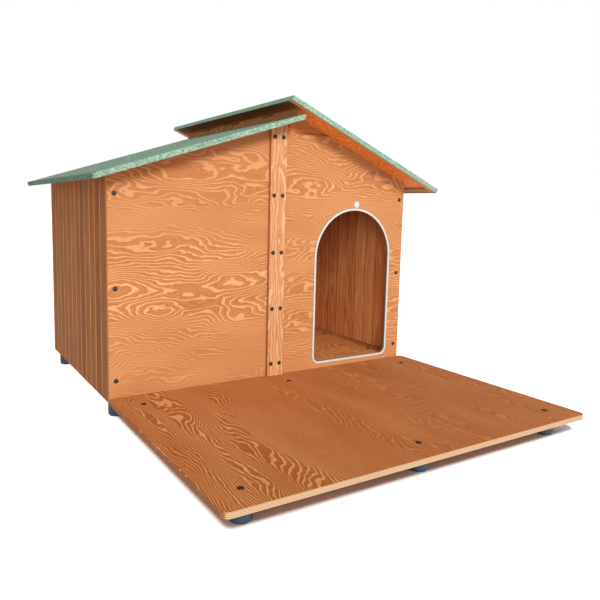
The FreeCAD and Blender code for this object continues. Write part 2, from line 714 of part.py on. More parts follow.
left_sheet = [("-sheet_left_eave", "0"), ("sheet_left_ridge", "0"),
              ("sheet_left_ridge + roof_thick * rise_left", "roof_thick"), ("-sheet_left_eave", "roof_thick")]
left_outside = [("-sheet_left_eave - felt_thick", "-felt_lip"), ("sheet_left_ridge", "-felt_lip"),
                ("sheet_left_ridge", "0"), ("felt_left_ridge", "0"),
                ("felt_left_ridge + cover * rise_left", "cover"), ("-sheet_left_eave - felt_thick", "cover")]
left_inside = [("-sheet_left_eave", "-felt_lip - 1"), ("sheet_left_ridge", "-felt_lip - 1")] + left_sheet[1:]
leaf("left", left_sheet, left_outside, left_inside, on_left_slope, [])

batten_start = "(board_thick + post_width) / cos(left_pitch)"
batten_end = "(side - strip_width / 2 - batten_size * sin(left_pitch)) / cos(left_pitch)"
for face, low in (("front", "front_in"), ("back", "back_in - batten_size")):
    name = face + "_gable_batten"
    batten = prism_y(name, rectangle(batten_start, batten_end, "-batten_size", "0"), "0", "batten_size")
    keep(on_left_slope(batten, low), name)

# Ridge: a beam under the fixed leaf, the upright ridge board and a rail that takes the hinges


def on_hinge_line(body, low):
    place(body, "hinge_x", low, "hinge_z")
    tilt(body, "right_pitch")
    return body


def along_hinges(body):
    """Repeat a whole piece at each hinge."""
    pattern = repeat(body, [], [("Y_Axis", "hinge_count", "hinge_row")])
    pattern.TransformMode = "Whole shape"
    return body


gain_outline = rectangle("-knuckle_radius - gain_play", "hinge_plate_width + gain_play",
                         "-plate_level", "plate_level + 1")
gains = prism_y("hinge_gains", gain_outline, "0", "hinge_length + 2 * gain_play")
on_hinge_line(along_hinges(gains), "hinge_y - gain_play")


def hinge_screws(name, direction, play):
    """Countersunk screws through one row of hinge plates, or their holes where play is given."""
    head, shank = "hinge_screw_head" + play, "hinge_screw_radius" + play
    above = direction + ("hinge_screw_sink" if play else "0")
    tip = direction + "(hinge_screw_length%s)" % play
    profile = [("0", "-(%s)" % above), (head, "-(%s)" % above), (head, "0"),
               (shank, direction + "hinge_screw_sink"),
               (shank, tip), ("0", tip)]
    if not play:
        profile = [("0", "0")] + profile[2:]
    body = turned(name, profile, ("0", "0", "0"), UP,
                  [("Y_Axis", "hinge_screw_count", "screw_row")])
    return body


keep_low, keep_high = "-(plate_level - hinge_plate_thick)", "plate_level - hinge_plate_thick"


def set_screws(body, level):
    along_hinges(body)
    shift = "hinge_screw_line * cos(right_pitch) + (%s) * sin(right_pitch)" % level
    rise = "(%s) * cos(right_pitch) - hinge_screw_line * sin(right_pitch)" % level
    place(body, "hinge_x + " + shift, "hinge_y + screw_first", "hinge_z + " + rise)
    tilt(body, "right_pitch")
    return body


fixed_screws = set_screws(hinge_screws("fixed_hinge_screws", "-", ""), keep_low)
fixed_screw_holes = set_screws(hinge_screws("fixed_screw_holes", "-", " + screw_play"), keep_low)
moving_screws = set_screws(hinge_screws("moving_hinge_screws", "", ""), keep_high)
moving_screw_holes = set_screws(hinge_screws("moving_screw_holes", "", " + screw_play"), keep_high)
keep(fixed_screws, "fixed_hinge_screws")
keep(moving_screws, "moving_hinge_screws")

beam_outline = [("beam_left", "beam_low"), ("ridge_offset", "beam_low"),
                ("ridge_offset", "eave + (side + ridge_offset) * rise_left"),
                ("beam_left", "eave + (side + beam_left) * rise_left")]
keep(prism_y("ridge_beam", beam_outline, "front_in", "room_depth"), "ridge_beam")

ridge_outline = [("ridge_offset", "beam_low"), ("board_right", "beam_low"),
                 ("board_right", "board_right_top"), ("ridge_offset", "ridge_top")]
ridge_blank = prism_y("ridge_blank", ridge_outline, "front - ridge_board_reach",
                      "kennel_depth + 2 * ridge_board_reach")
end_cuts = []
for face, low in (("front", "front - ridge_board_reach - 1"), ("back", "back_in")):
    end_cut = prism_y(face + "_end_cut", rectangle("ridge_offset - 1", "board_right + 1", "beam_low - 1",
                                                   "beam_low + ridge_board_end_lift"),
                      low, "ridge_board_reach + panel_thick + 1")
    end_cuts.append(end_cut)
drilled("ridge_board", ridge_blank, end_cuts + [gains])

rail_low = "board_right_top - ridge_rail_drop"
rail_outline = [("board_right", rail_low), ("rail_right", rail_low),
                ("rail_right", "rail_right_top"), ("board_right", "board_right_top")]
rail_blank = prism_y("ridge_rail_blank", rail_outline, "front_in + leaf_rest_thick",
                     "room_depth - 2 * leaf_rest_thick")
drilled("ridge_rail", rail_blank, [gains, fixed_screw_holes])

# Boards inside the gables that the opening leaf rests on; they close the notches and carry the ridge rail

rest_drop = "leaf_rest_height / cos(right_pitch)"
rest_end_top = "right_eave + (board_thick + post_width) * rise_right"
rest_outline = [("board_right", "board_right_top - " + rest_drop),
                ("post_in", rest_end_top + " - " + rest_drop),
                ("post_in", rest_end_top), ("board_right", "board_right_top")]
for face, low in (("front", "front_in"), ("back", "back_in - leaf_rest_thick")):
    name = face + "_leaf_rest"
    keep(prism_y(name, rest_outline, low, "leaf_rest_thick"), name)

# Opening roof leaf: a thinner sheet, stiffened by four strips under its edges and two battens inside the walls

strip_low = "leaf_play - edge_strip_thick"
right_low = strip_low + " - felt_lip"
sheet_top = "leaf_play + leaf_sheet_thick"
right_sheet = rectangle("-sheet_right_ridge", "sheet_right_eave", "leaf_play", sheet_top)
right_outside = rectangle("-sheet_right_ridge - felt_thick", "sheet_right_eave + felt_thick",
                          right_low, "leaf_play + leaf_cover")
right_inside = rectangle("-sheet_right_ridge", "sheet_right_eave", right_low + " - 1", sheet_top)
leaf("right", right_sheet, right_outside, right_inside, on_right_slope, [moving_screw_holes])
eave_inner = "sheet_right_eave - eave_strip_width"
ridge_inner = "edge_strip_width - sheet_right_ridge"
strip_front = "roof_front + felt_thick"
strip_back = "roof_front + roof_length - felt_thick - edge_strip_width"
strip_mid = strip_front + " + edge_strip_width"
strip_span = "roof_length - 2 * (felt_thick + edge_strip_width)"
edge_strips = [("front", "-sheet_right_ridge", "sheet_right_eave", strip_front, "edge_strip_width"),
               ("back", "-sheet_right_ridge", "sheet_right_eave", strip_back, "edge_strip_width"),
               ("eave", eave_inner, "sheet_right_eave", strip_mid, strip_span),
               ("ridge", "-sheet_right_ridge", ridge_inner, strip_mid, strip_span)]
for where, start, end, low, length in edge_strips:
    name = where + "_edge_strip"
    keep(on_right_slope(prism_y(name, rectangle(start, end, strip_low, "leaf_play"), "0", length), low), name)

leaf_start = "-(side - rail_right - leaf_batten_start) / cos(right_pitch)"
leaf_end = "-(side - post_in + leaf_batten_end) / cos(right_pitch)"
leaf_battens = [("front", "front_in + leaf_rest_thick + leaf_batten_play"),
                ("back", "back_in - leaf_rest_thick - leaf_batten_play - leaf_batten_width")]
for face, low in leaf_battens:
    name = face + "_leaf_batten"
    outline = rectangle(leaf_start, leaf_end, "leaf_play - leaf_batten_height", "leaf_play")
    keep(on_right_slope(prism_y(name, outline, "0", "leaf_batten_width"), low), name)


# Butt hinges: plates folded flat, with rolled knuckles standing to the left of the ridge board

def hinge_plates(name, low, high, first, number, span, holes, label):
    """Three hinge plates with their knuckles; low and high are the plate's faces about the pin."""
    body = new_body(name)
    plate = new_sketch(body, "XZ_Plane", "plate_outline")
    draw_outline(plate, rectangle("knuckle_radius + knuckle_play", "hinge_plate_width", low, high))
    pad(body, plate, "hinge_length", True)
    barrel = new_sketch(body, "XZ_Plane", "knuckle_outline")
    draw_circle(barrel, "knuckle_radius")
    tab = new_sketch(body, "XZ_Plane", "tab_outline")
    draw_outline(tab, rectangle("0", "knuckle_radius + knuckle_play + 1", low, high))
    rolled = []
    for sketch in (barrel, tab):
        bind(sketch, "AttachmentOffset.Base.z", "-(%s)" % first)
        rolled.append(pad(body, sketch, "knuckle_length", True))
    repeat(body, rolled, [("Y_Axis", number, span)])
    bore = new_sketch(body, "XZ_Plane", "bore_outline")
    draw_circle(bore, "pin_radius + pin_play")
    through = body.newObject("PartDesign::Pocket", "pin_bore")
    through.Profile = bore
    through.Reversed = False
    through.Midplane = True
    bind(through, "Length", "3 * hinge_length")
    along_hinges(body)
    on_hinge_line(body, "hinge_y")
    drilled(label, body, [holes])


hinge_plates("fixed_plates", "-plate_level", keep_low, "0", "3", "4 * knuckle_pitch",
             fixed_screw_holes, "fixed_hinge_plates")
hinge_plates("moving_plates", keep_high, "plate_level", "knuckle_pitch", "2", "2 * knuckle_pitch",
             moving_screw_holes, "moving_hinge_plates")
pins = new_body("hinge_pins")
pin_sketch = new_sketch(pins, "XZ_Plane", "pin_outline")
draw_circle(pin_sketch, "pin_radius")
pad(pins, pin_sketch, "hinge_length", True)
on_hinge_line(along_hinges(pins), "hinge_y")
keep(pins, "hinge_pins")

# Checks and files

doc.recompute()
for item in doc.Objects:
    if "Invalid" in item.State or "Error" in item.State:
        raise RuntimeError("failed: %s %s" % (item.Name, item.State))
os.makedirs("parts", exist_ok=True)
for item in parts:
    if item.Shape.isNull() or not item.Shape.isValid():
        raise RuntimeError("no valid shape: " + item.Label)
for item in parts:
    item.Shape.exportStep("parts/%s.step" % item.Label)
    box = item.Shape.BoundBox
    print("%-24s %3d solids %12.0f mm3  X %8.1f %8.1f  Y %8.1f %8.1f  Z %7.1f %7.1f" % (
        item.Label, len(item.Shape.Solids), item.Shape.Volume,
        box.XMin, box.XMax, box.YMin, box.YMax, box.ZMin, box.ZMax))
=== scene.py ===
import bpy
import bmesh
from math import radians
from mathutils import Matrix, Vector


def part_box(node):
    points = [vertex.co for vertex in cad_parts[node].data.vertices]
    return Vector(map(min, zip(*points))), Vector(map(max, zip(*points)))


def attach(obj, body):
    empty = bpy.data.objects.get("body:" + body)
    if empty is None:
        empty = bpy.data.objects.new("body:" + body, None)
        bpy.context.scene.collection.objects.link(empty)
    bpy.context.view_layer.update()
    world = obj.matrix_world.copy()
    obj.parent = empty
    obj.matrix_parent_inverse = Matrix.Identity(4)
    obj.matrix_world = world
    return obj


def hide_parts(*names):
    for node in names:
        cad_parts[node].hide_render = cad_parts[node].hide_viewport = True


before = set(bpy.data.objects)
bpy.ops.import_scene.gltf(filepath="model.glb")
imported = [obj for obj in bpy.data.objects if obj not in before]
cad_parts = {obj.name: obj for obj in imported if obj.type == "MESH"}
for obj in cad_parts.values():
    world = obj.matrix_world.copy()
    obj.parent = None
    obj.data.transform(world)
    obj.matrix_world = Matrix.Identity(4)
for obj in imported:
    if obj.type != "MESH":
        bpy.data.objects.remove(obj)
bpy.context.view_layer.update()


# Sun deck: one sheet of 18 mm plywood with rounded corners, stained and oiled. Its face veneer is peeled from the log,
# so the growth rings show as wandering contours along the sheet. Pale plies show in its front and back edges.

class Value:
    """A socket of a material; sums, differences and products with it add their Math nodes."""

    def __init__(self, socket):
        self.socket = socket
        self.tree = socket.id_data

    def node(self, kind, settings, inputs, output=0):
        """Any other node: its type, its settings, what its sockets hold, and the output that is wanted."""
        made = self.tree.nodes.new(kind)
        for name, setting in settings.items():
            if name == "stops":
                ramp = made.color_ramp
                while len(ramp.elements) < len(setting):
                    ramp.elements.new(0.5)
                for element, (position, colour) in zip(ramp.elements, setting):
                    element.position = position
                    element.color = colour
            else:
                setattr(made, name, setting)
        for name, held in inputs.items():
            if isinstance(held, Value):
                self.tree.links.new(held.socket, made.inputs[name])
            else:
                made.inputs[name].default_value = held
        return Value(made.outputs[output])

    def math(self, operation, *operands):
        return self.node("ShaderNodeMath", {"operation": operation}, dict(enumerate(operands)))

    def __add__(self, other):
        return self.math("ADD", self, other)

    __radd__ = __add__

    def __sub__(self, other):
        return self.math("SUBTRACT", self, other)

    def __rsub__(self, other):
        return self.math("SUBTRACT", other, self)

    def __mul__(self, other):
        return self.math("MULTIPLY", self, other)

    __rmul__ = __mul__

    def fraction(self):
        """What is left after the whole number, so a growing height falls into rings."""
        return self.math("FRACT", self)

    def between(self, low, high):
        """0 below low, 1 above high, and an eased step between them."""
        return self.node("ShaderNodeMapRange", {"interpolation_type": "SMOOTHSTEP"},
                         {"Value": self, "From Min": low, "From Max": high})

    def tint(self, dark, light):
        """A colour between two, chosen by this value."""
        return self.node("ShaderNodeMix", {"data_type": "RGBA"}, {0: self, 6: dark, 7: light}, 2)

    def stain(self, stops):
        """A colour from a row of them, chosen by this value."""
        return self.node("ShaderNodeValToRGB", {"stops": stops}, {0: self})

    def noise(self, stretch, offset=(0.0, 0.0, 0.0), detail=3.0, rough=0.5):
        """Noise on this position, with a grain of the given size in millimetres along each axis."""
        spread = self.node("ShaderNodeMapping", {}, {"Vector": self, "Location": offset,
                                                     "Scale": [1000.0 / size for size in stretch]})
        return self.node("ShaderNodeTexNoise", {}, {"Vector": spread, "Scale": 1.0, "Detail": detail,
                                                    "Roughness": rough})

    def axis(self, letter):
        """One coordinate of a position or direction."""
        return self.node("ShaderNodeSeparateXYZ", {}, {0: self}, "XYZ".index(letter))


def srgb(code, share=1.0):
    """A colour given as six hexadecimal digits, for a shader, and how much of it there is."""
    parts = [int(code[place:place + 2], 16) / 255.0 for place in (0, 2, 4)]
    return [share * ((part + 0.055) / 1.055) ** 2.4 for part in parts] + [1.0]


def shades(share, *stops):
    """A row of colours for a stain: where each stands from 0 to 1, and its code. All have the same share."""
    return [(position, srgb(code, share)) for position, code in stops]


def new_finish(name, roughness, **fixed):
    """A new material; gives it, the position on the object and the way that the surface faces."""
    finish = bpy.data.materials.new(name)
    finish.use_nodes = True
    shader = finish.node_tree.nodes["Principled BSDF"]
    shader.inputs["Roughness"].default_value = roughness
    for socket, held in fixed.items():
        shader.inputs[socket.replace("_", " ")].default_value = held
    source = finish.node_tree.nodes.new("ShaderNodeTexCoord")
    return finish, Value(source.outputs["Object"]), Value(source.outputs["Normal"])


def coat(finish, **links):
    """Join values to the sockets of a material's shader."""
    shader = finish.node_tree.nodes["Principled BSDF"]
    for socket, value in links.items():
        finish.node_tree.links.new(value.socket, shader.inputs[socket.replace("_", " ")])
    return finish


def relief(height, strength, distance):
    """A surface raised by a value: so far in metres where it is 1, and shown so strongly."""
    return height.node("ShaderNodeBump", {}, {"Height": height, "Strength": strength, "Distance": distance})


def peeled_plywood(name, along, across, ply_start, ply_thick, tones, edges, seed, bands, figure=27.0, drift=0.12):
    """Peeled softwood plywood. The rings of its face are contours of a slow height field, and its edges show the plies.

    Each band starts at a distance in metres across the sheet, and has so many rings to the metre, drawn so strongly.
    The plies' colours are two pairs, for the edges at the ends of the face grain and for those along it.
    """
    finish, place, normal = new_finish(name, 0.6, Specular_IOR_Level=0.08)
    thin = "XYZ".replace(along, "").replace(across, "")
    end_plies, side_plies = edges
    off = (seed * 1.7, seed * 2.3, seed * 3.1)

    def sizes(size_along, size_across, size_through=900.0):
        return [{along: size_along, across: size_across}.get(letter, size_through) for letter in "XYZ"]

    # Rings are counted across the sheet, band by band. The ramp holds the count so far and how strongly they show.
    counts = [0.0]
    for (start, rate, _), (end, _, _) in zip(bands, bands[1:]):
        counts.append(counts[-1] + (end - start) * rate)
    fewest = min(counts)
    spread = max(counts) - fewest
    first, last = bands[0][0], bands[-1][0]
    breadth = last - first
    stray = (place.noise(sizes(300.0, 120.0), (seed, 7.0, seed), detail=2.0) - 0.5) * drift
    course = ((place.axis(across) + stray - first) * (1.0 / breadth)).stain(
        [((start - first) / breadth, ((count - fewest) / spread, strength, 0.0, 1.0))
         for (start, _, strength), count in zip(bands, counts)])

    # The first three noises bend the rings, from the sheet's whole figure down to a ring's ragged edge. The others
    # tone the wood itself.
    slow = place.noise(sizes(620.0, 215.0), off, detail=1.0)
    middle = place.noise(sizes(150.0, 52.0), off, detail=1.0)
    ragged = place.noise(sizes(34.0, 13.0), off, detail=2.0)
    wander = place.noise(sizes(420.0, 110.0), (seed, 3.0, 4.0), detail=2.0)
    fibre = place.noise(sizes(34.0, 1.7), off, detail=2.0, rough=0.7)
    speck = place.noise(sizes(7.0, 3.0), off, detail=2.0, rough=0.6)
    middle_rings, ragged_rings = figure * 0.11, 0.8
    phase = (slow * figure + middle * middle_rings + ragged * ragged_rings + course.axis("X") * spread).fraction()

    # Along a ring the wood darkens, then turns pale, and ends in a thin dark line.
    pale_starts, pale_full, pale_fades, pale_ends = 0.46, 0.64, 0.82, 0.98
    ring = phase.between(pale_starts, pale_full) * (1.0 - phase.between(pale_fades, pale_ends))
    dark_full, dark_share, dark_all_over = 0.6, 0.35, 0.05
    band = ring - phase.between(0.0, dark_full) * dark_share - dark_all_over
    ring_share, wander_share, fibre_share, speck_share, own_tone = 0.76, 0.36, 0.22, 0.18, 0.13
    tone = (band * course.axis("Y") * ring_share + wander * wander_share + fibre * fibre_share
            + speck * speck_share + own_tone)

    # Edges: plies that grow pale away from each glue line, under the saw's marks.
    level = (place.axis(thin) - ply_start) * (1000.0 / ply_thick)
    ply = level.math("PINGPONG", level, 1.0)
    mark_long, mark_thin = 7.0, 0.8
    sawn = place.noise([mark_long if letter != thin else mark_thin for letter in "XYZ"], off, detail=2.0, rough=0.7)
    glue_line, clear_ply, ply_share, sawn_share, glue_dark = 0.12, 0.42, 0.6, 0.5, 0.1
    edge = ply.between(glue_line, clear_ply) * ply_share + sawn * sawn_share - glue_dark
    eased_from, eased_to = 0.6, 0.9
    end, face = [facing.math("ABSOLUTE", facing).between(eased_from, eased_to)
                 for facing in (normal.axis(along), normal.axis(thin))]
    sides = end.tint(edge.tint(*side_plies), edge.tint(*end_plies))
    dull, less_on_rings = 0.66, 0.12
    return coat(finish, Base_Color=face.tint(sides, tone.stain(tones)), Roughness=dull - ring * less_on_rings,
                Normal=relief(ring * 0.5 + fibre * 0.5, strength=0.2, distance=0.0005))


def softened(node, body, finish, width, segments=2):
    """A copy of a node in its place, with its sawn or pressed edges eased by a width in millimetres."""
    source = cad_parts[node]
    work = bmesh.new()
    work.from_mesh(source.data)
    bmesh.ops.remove_doubles(work, verts=work.verts, dist=0.00002)
    bmesh.ops.dissolve_limit(work, angle_limit=radians(1.0), verts=work.verts, edges=work.edges)
    for face in work.faces:
        face.smooth = True
    mesh = bpy.data.meshes.new(node + "_eased")
    work.to_mesh(mesh)
    work.free()
    piece = bpy.data.objects.new(node + "_eased", mesh)
    bpy.context.scene.collection.objects.link(piece)
    mesh.materials.append(finish)
    easing = piece.modifiers.new("easing", "BEVEL")
    easing.width = width / 1000.0
    easing.segments = segments
    easing.limit_method = "ANGLE"
    easing.angle_limit = radians(40.0)
    piece.modifiers.new("even_shading", "WEIGHTED_NORMAL")
    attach(piece, body)
    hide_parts(node)
    return piece


low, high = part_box("deck_panel")
deck_plies = 7
deck_ply = 1000.0 * (high.z - low.z) / deck_plies
pale_plies = (srgb("B07A52", 0.5), srgb("F2CDA6", 0.5))
brown_plies = (srgb("5A3018"), srgb("9A5F3A"))
deck_tones = shades(0.76, (0.0, "98501F"), (0.4, "AE6432"), (0.75, "CB8450"), (1.0, "E09E68"))
deck_bands = [(-0.73, 160.0, 0.9), (-0.60, 70.0, 1.0), (-0.40, 100.0, 1.0), (-0.28, 150.0, 0.7),
              (-0.10, 110.0, 0.4), (0.15, 60.0, 0.3), (0.55, 80.0, 0.3), (0.76, 80.0, 0.3)]
deck_stain = peeled_plywood("deck_stain", "Y", "X", low.z, deck_ply, deck_tones, (pale_plies, brown_plies), 3.0,
                            deck_bands, figure=30.0, drift=0.06)
softened("deck_panel", "kennel", deck_stain, 1.2)


# Feet: turned rubber buffers with a slight taper at the ground, black with a blue cast. They are recessed below for
# the nut or the coach screw's head.

rubber, place, _ = new_finish("foot_rubber", 0.55, Specular_IOR_Level=0.4)
speckle = place.noise((1.2, 1.2, 1.2), detail=2.0)
coat(rubber, Base_Color=speckle.tint(srgb("161E2C"), srgb("2A3648")),
     Normal=relief(speckle, strength=0.15, distance=0.0004))


def turned(name, body, node, finish, outline, places, lean=None, segments=28):
    """Round pieces: an outline of radius and height in millimetres, spun and set at each place."""
    single = bmesh.new()
    corners = [single.verts.new((radius / 1000.0, 0.0, height / 1000.0)) for radius, height in outline]
    edges = [single.edges.new(pair) for pair in zip(corners, corners[1:])]
    bmesh.ops.spin(single, geom=corners + edges, axis=(0, 0, 1), cent=(0, 0, 0), angle=radians(360),
                   steps=segments, use_merge=True)
    bmesh.ops.remove_doubles(single, verts=single.verts, dist=0.00001)
    bmesh.ops.recalc_face_normals(single, faces=single.faces)
    for face in single.faces:
        face.smooth = True
    if lean:
        bmesh.ops.transform(single, matrix=lean, verts=single.verts)
    pattern = bpy.data.meshes.new(name + "_one")
    single.to_mesh(pattern)
    single.free()
    whole = bmesh.new()
    for spot in places:
        before = len(whole.verts)
        whole.from_mesh(pattern)
        whole.verts.ensure_lookup_table()
        bmesh.ops.translate(whole, vec=spot, verts=whole.verts[before:])
    bpy.data.meshes.remove(pattern)
    mesh = bpy.data.meshes.new(name)
    whole.to_mesh(mesh)
    whole.free()
    mesh.set_sharp_from_angle(angle=radians(35))
    piece = bpy.data.objects.new(name, mesh)
    bpy.context.scene.collection.objects.link(piece)
    mesh.materials.append(finish)
    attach(piece, body)
    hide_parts(node)
    return piece


def grid(node, radius, columns, rows):
    """The centres of like round pieces in a node that are set out in columns and rows, at its base level."""
    low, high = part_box(node)
    reach = radius / 1000.0
    first, last = low + Vector((reach, reach, 0)), high - Vector((reach, reach, 0))
    spots = []
    for column in range(columns):
        for row in range(rows):
            spots.append(Vector((first.x + (last.x - first.x) * column / (columns - 1),
                                 first.y + (last.y - first.y) * row / (rows - 1), low.z)))
    return spots


bore, recess, foot_radius = 4.2, 15.0, 33.0
foot_outline = [(bore, 20.0), (recess, 20.0), (recess, 0.6), (15.6, 0.0), (28.2, 0.0), (29.3, 0.5), (32.6, 6.6),
                (foot_radius, 8.0), (foot_radius, 65.0), (32.0, 66.0), (bore, 66.0), (bore, 20.0)]
for node in ("deck_feet", "kennel_feet"):
    turned(node + "_rubber", "kennel", node, rubber, foot_outline, grid(node, foot_radius, 3, 2))


# Floor inside the kennel: the same plywood on three flat softwood bearers, bolted through with round-headed bolts. Its
# edges are stained all round.

low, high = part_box("kennel_floor")
floor_tones = shades(1.0, (0.0, "8A4A22"), (0.5, "B46E3C"), (0.8, "C88550"), (1.0, "D69660"))
floor_bands = [(-0.06, 60.0, 0.5), (0.3, 30.0, 0.8), (0.6, 80.0, 0.5), (0.88, 60.0, 0.5)]
floor_stain = peeled_plywood("floor_stain", "X", "Y", low.z, deck_ply, floor_tones, (brown_plies, brown_plies), 9.0,
                             floor_bands)
softened("kennel_floor", "kennel", floor_stain, 0.8)


def planed_softwood(name, along, dark, light, seed):
    """Planed pine or spruce: rings seen along the grain and soft streaks."""
    finish, place, _ = new_finish(name, 0.6, Specular_IOR_Level=0.1)
    off = (seed * 1.3, seed * 2.9, seed * 0.7)

    def sizes(size_along, size_across):
        return [size_along if letter == along else size_across for letter in "XYZ"]

    bend = place.noise(sizes(500.0, 40.0), off, detail=2.0)
    wave = place.noise(sizes(900.0, 7.0), off, detail=1.0)
    fibre = place.noise(sizes(40.0, 0.8), off, detail=3.0, rough=0.65)
    wave_rings, bend_rings = 9.0, 2.0
    phase = (wave * wave_rings + bend * bend_rings).fraction()
    pale_full, pale_fades = 0.7, 0.82
    band = phase.between(0.0, pale_full) * (1.0 - phase.between(pale_fades, 1.0))
    band_share, bend_share, fibre_share, darker = 0.5, 0.4, 0.3, 0.12
    tone = band * band_share + bend * bend_share + fibre * fibre_share - darker
    return coat(finish, Base_Color=tone.tint(srgb(dark), srgb(light)),
                Normal=relief(fibre * 0.6 + band * 0.4, strength=0.25, distance=0.0006))


bearer_wood = planed_softwood("bearer_wood", "X", "6E3A1C", "A9683A", 2.0)
for where in ("front", "middle", "back"):
    softened(where + "_floor_bearer", "kennel", bearer_wood, 1.5)


# Side walls: upright tongued and grooved boards with a V joint, each board a little different in tone, stained brown
# outside. Inside they are painted paler, as painted light.

low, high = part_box("left_wall_boards")
board_rows = 12
board_pitch = (high.y - low.y) / board_rows
match_wood, place, normal = new_finish("match_wood", 0.65, Specular_IOR_Level=0.08)
row = (place.axis("Y") - low.y) * (1.0 / board_pitch)
number = row.math("FLOOR", row)

# From 0 on the left wall to 1 on the right. Each board's figure is moved, so that no two boards look alike.
side = place.axis("X").between(-0.1, 0.1)
move_across, move_along, move_to_right_wall, right_wall_tones = 0.37, 0.61, 5.0, 40.0
shift = number.node("ShaderNodeCombineXYZ", {},
                    {0: number * move_across, 1: side * move_to_right_wall, 2: number * move_along})
moved = shift.node("ShaderNodeVectorMath", {"operation": "ADD"}, {0: place, 1: shift})
tone_of_board = number.node("ShaderNodeTexWhiteNoise", {"noise_dimensions": "1D"},
                            {"W": number + side * right_wall_tones})
bend = moved.noise((60.0, 60.0, 480.0), detail=2.0)
wave = moved.noise((26.0, 26.0, 900.0), detail=1.0)
fibre = moved.noise((1.4, 1.4, 60.0), detail=3.0, rough=0.65)
cloud = moved.noise((40.0, 40.0, 160.0), detail=3.0)
wave_rings, bend_rings = 8.0, 3.0
phase = (wave * wave_rings + bend * bend_rings).fraction()
pale_full, pale_fades = 0.75, 0.8
band = phase.between(0.0, pale_full) * (1.0 - phase.between(pale_fades, 1.0))
band_share, bend_share, board_share, fibre_share, cloud_share, darker = 0.34, 0.26, 0.26, 0.3, 0.3, 0.22
tone = (band * band_share + bend * bend_share + tone_of_board * board_share + fibre * fibre_share
        + cloud * cloud_share - darker)

# Outside, a painted highlight runs along the joints; inside, the joints are dark. Distances are shares of a board.
joint = row.math("PINGPONG", row, 0.5).between(0.05, 0.02)
outward = normal.axis("X") * (side * 2.0 - 1.0)
joint_highlight_in_clouds, joint_highlight_all_along = 1.2, 0.2
outside_tones = shades(1.0, (0.0, "5A3115"), (0.4, "74431C"), (0.75, "845024"), (1.0, "A66934"))
# The outside wood, with a painted highlight along its joints.
outside_with_joint_highlights = (joint * (cloud * joint_highlight_in_clouds + joint_highlight_all_along)).tint(tone.stain(outside_tones), srgb("D08848"))
# Inside: a paler stain of the same wood, which stands in for light there (painted light).
inside_painted_light = tone.stain(shades(1.0, (0.0, "9C4A20"), (0.4, "DA8048"), (0.75, "F2A86C"), (1.0, "FCCA94")))
gap = row.math("PINGPONG", row, 0.5).between(0.055, 0.015)
faced = outward.between(-0.2, 0.2)
gap_dark = 0.65
coat(match_wood, Base_Color=faced.tint((gap * gap_dark).tint(inside_painted_light, srgb("3A1A0C")), outside_with_joint_highlights),
     Normal=relief(fibre * 0.6 + band * 0.4, strength=0.25, distance=0.0006))
for hand in ("left", "right"):
    softened(hand + "_wall_boards", "kennel", match_wood, 0.4, 1)


# Frame inside: corner posts, top rails and, behind the joint of each gable, a batten that its bolts go through. All
# are planed softwood in a stain like the walls' inside.

post_wood = planed_softwood("post_wood", "Z", "9A5226", "D08A50", 5.0)
rail_wood = planed_softwood("rail_wood", "Y", "8A4822", "C07A44", 6.0)
for hand in ("left", "right"):
    softened(hand + "_top_rail", "kennel", rail_wood, 1.2)
    for face in ("front", "back"):
        softened("%s_%s_post" % (face, hand), "kennel", post_wood, 1.2)
for face in ("front", "back"):
    softened(face + "_joint_batten", "kennel", post_wood, 1.2)


# Gable walls: 15 mm peeled plywood with its grain lying across, in a warm honey stain. An upright strip with its own
# grain covers the joint between the two panels.

honey = shades(0.47, (0.0, "B4663A"), (0.3, "D0834D"), (0.6, "E79C65"), (1.0, "FFBF82"))
pale_honey = shades(0.47, (0.0, "CA7E4A"), (0.3, "E09660"), (0.6, "F4B07A"), (1.0, "FFCB98"))
stained_plies = (srgb("8A5430"), srgb("A86C42"))
stained_edges = (stained_plies, stained_plies)
wall_ply = 3.0
gable_bands = {
    "left": [(0.06, 120.0, 0.3), (0.27, 80.0, 0.55), (0.41, 20.0, 0.95), (0.63, 70.0, 0.9), (0.73, 130.0, 0.3),
             (0.84, 80.0, 0.6), (0.90, 25.0, 0.75), (0.99, 90.0, 0.6), (1.17, 90.0, 0.5)],
    "right": [(0.06, 100.0, 0.5), (0.30, 40.0, 0.8), (0.50, 80.0, 0.7), (0.66, 110.0, 0.6), (0.84, 80.0, 0.7),
              (0.90, 30.0, 0.8), (0.98, 70.0, 0.7), (1.17, 70.0, 0.6)],
}
for face in ("front", "back"):
    other_sheet = 0.0 if face == "front" else 20.0
    for hand, seed in (("left", 1.0), ("right", 6.5)):
        node = "%s_%s_panel" % (face, hand)
        low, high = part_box(node)
        veneer = peeled_plywood(node + "_veneer", "X", "Z", low.y, wall_ply, honey, stained_edges,
                                seed + other_sheet, gable_bands[hand])
        softened(node, "kennel", veneer, 0.8)
    node = face + "_cover_strip"
    low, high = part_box(node)
    strip_bands = [(low.x, 60.0, 0.8), (0.5 * (low.x + high.x), -60.0, 0.8), (high.x, 0.0, 0.8)]
    strip_veneer = peeled_plywood(node + "_veneer", "Z", "X", low.y, wall_ply, pale_honey, stained_edges,
                                  31.0 + other_sheet, strip_bands, figure=12.0)
    softened(node, "kennel", strip_veneer, 1.0)


# Bolts: blacked steel with low round heads. The small ones hold the gable panels and strips, the large ones the deck
# and the floor. Their nuts, and the coach screws in the kennel's feet, are bright zinc.

black_steel, place, _ = new_finish("black_steel", 0.34, Specular_IOR_Level=0.25)
worn = place.noise((3.0, 3.0, 3.0), detail=3.0)
coat(black_steel, Base_Color=worn.tint(srgb("15120F"), srgb("2A2622")), Roughness=worn * 0.3 + 0.3)
zinc, place, _ = new_finish("bright_zinc", 0.4, Metallic=0.9)
worn = place.noise((4.0, 4.0, 4.0), detail=4.0)
coat(zinc, Base_Color=worn.tint(srgb("8C9093"), srgb("C2C5C8")), Roughness=worn * 0.35 + 0.25)


